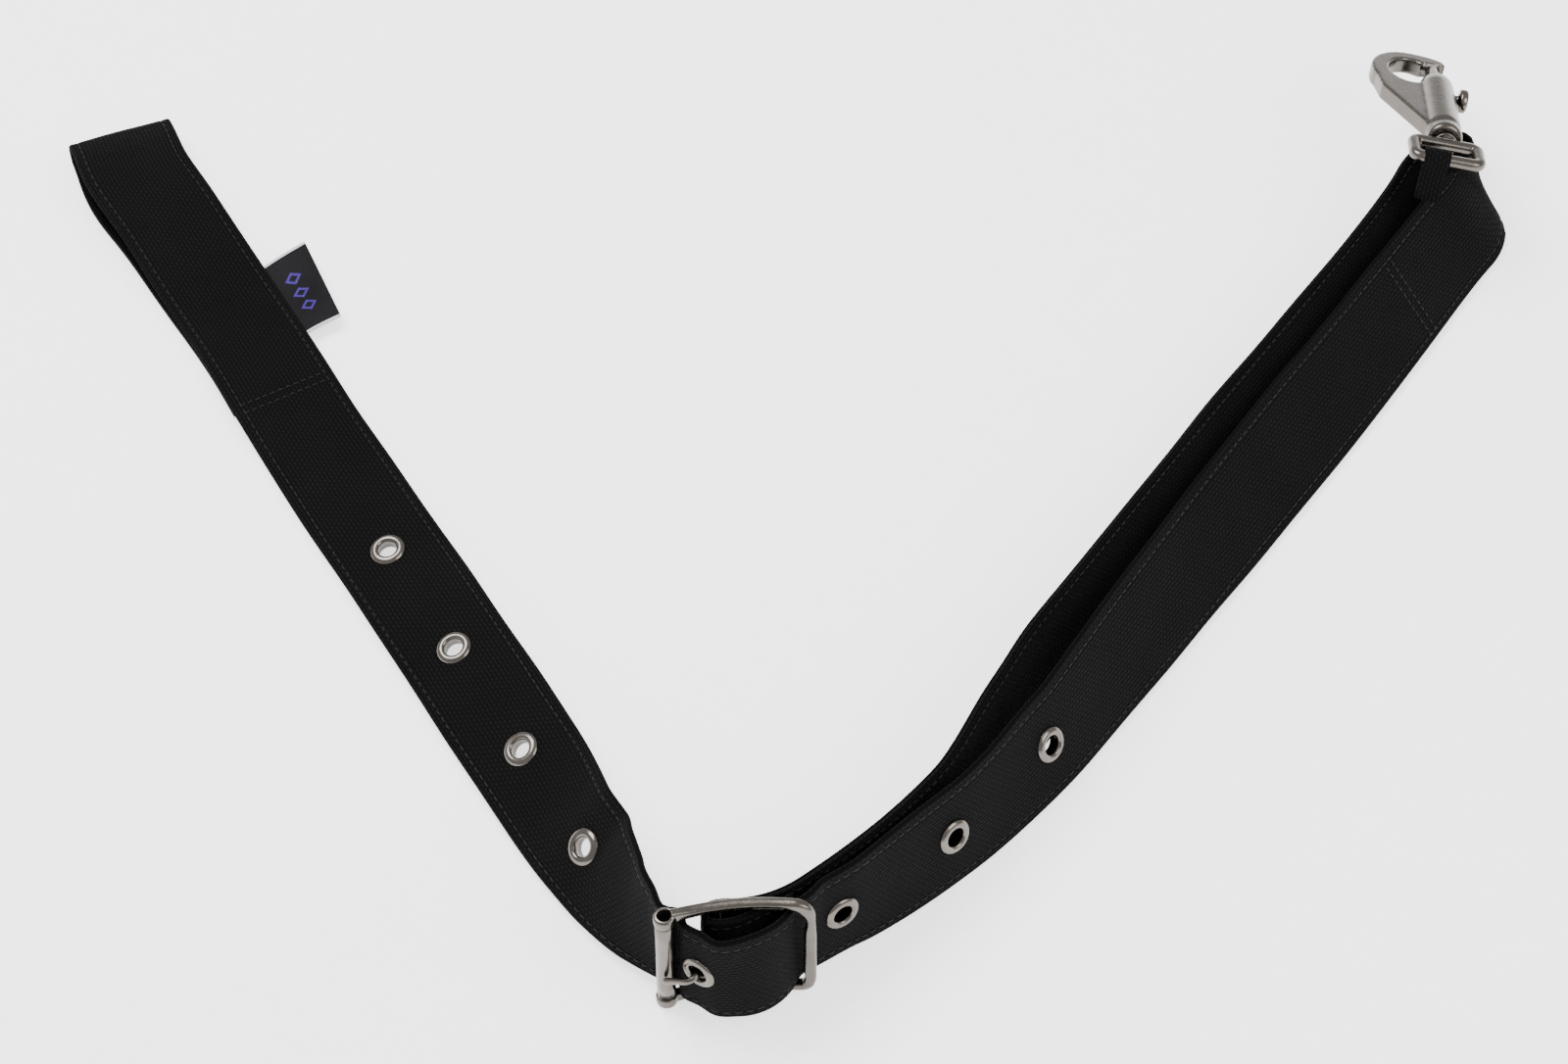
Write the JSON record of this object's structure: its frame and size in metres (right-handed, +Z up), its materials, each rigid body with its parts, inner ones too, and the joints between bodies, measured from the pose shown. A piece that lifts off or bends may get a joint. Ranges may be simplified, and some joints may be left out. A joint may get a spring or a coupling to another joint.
{
  "type": "harness martingale",
  "caption": "Webbing martingale strap with a sewn girth loop, a roller buckle and punched eyelets for adjustment, and a swivel bolt snap hanging in a fold at the other end.",
  "frame": {"origin": "on the floor under the middle of the part's bounding box", "axes": "+X from the girth-loop arm to the snap arm, +Y from the buckle up the V, +Z up from the floor it lies on"},
  "size_m": [0.518, 0.4083, 0.0535],
  "materials": {
    "webbing": "coarse black woven webbing, matt",
    "nickel": "nickel plate with fine wear, warm grey",
    "spring_steel": "bare spring wire",
    "label_woven": null
  },
  "bodies": {
    "strap": {"back_layer": "webbing", "back_layer_end": "webbing", "buckle_centre_bar": "nickel", "buckle_chape": "webbing", "buckle_frame": "nickel", "eyelet_5": "nickel", "eyelet_6": "nickel", "eyelet_7": "nickel", "eyelet_8": "nickel", "eyelet_washer_5": "nickel", "eyelet_washer_6": "nickel", "eyelet_washer_7": "nickel", "eyelet_washer_8": "nickel", "front_layer": "webbing", "snap_fold": "webbing", "snap_keeper": "webbing", "strap_through_buckle": "webbing"},
    "girth_strap": {"eyelet_1": "nickel", "eyelet_2": "nickel", "eyelet_3": "nickel", "eyelet_4": "nickel", "eyelet_washer_1": "nickel", "eyelet_washer_2": "nickel", "eyelet_washer_3": "nickel", "eyelet_washer_4": "nickel", "girth_arm": "webbing", "girth_arm_end": "webbing", "girth_loop": "webbing", "label": "label_woven"},
    "roller": {"buckle_roller": "nickel"},
    "tongue": {"buckle_tongue": "nickel"},
    "eye": {"snap_eye": "nickel"},
    "hook": {"snap_body": "nickel", "bolt_spring": "spring_steel"},
    "bolt": {"snap_bolt": "nickel", "bolt_knob": "nickel"}
  },
  "joints": [
    {"name": "girth_arm_swing", "type": "hinge", "parent": "strap", "child": "girth_strap", "pos_m": [-0.04813, -0.17456, 0.022], "axis": [0, 0, 1], "range_deg": [-10, 10], "stiffness_Nm_per_rad": 0.02},
    {"name": "roller_spin", "type": "hinge", "parent": "strap", "child": "roller", "pos_m": [-0.03691, -0.19456, 0.023], "axis": [0, 0, 1], "continuous": true},
    {"name": "tongue_swing", "type": "hinge", "parent": "strap", "child": "tongue", "pos_m": [-0.02138, -0.1902, 0.023], "axis": [0, 0, 1], "range_deg": [0, 6]},
    {"name": "eye_tilt", "type": "hinge", "parent": "strap", "child": "eye", "pos_m": [0.23234, 0.1253, 0.04861], "axis": [0.9833, -0.1062, -0.1476], "range_deg": [0, 25]},
    {"name": "snap_swivel", "type": "hinge", "parent": "eye", "child": "hook", "pos_m": [0.23357, 0.14754, 0.0408], "axis": [0.0521, 0.9423, -0.3308], "continuous": true},
    {"name": "bolt_slide", "type": "slide", "parent": "hook", "child": "bolt", "axis": [-0.0521, -0.9423, 0.3308], "range_m": [0, 0.011], "stiffness_N_per_m": 150, "springref_m": -0.004, "deforming": ["bolt_spring"]}
  ]
}
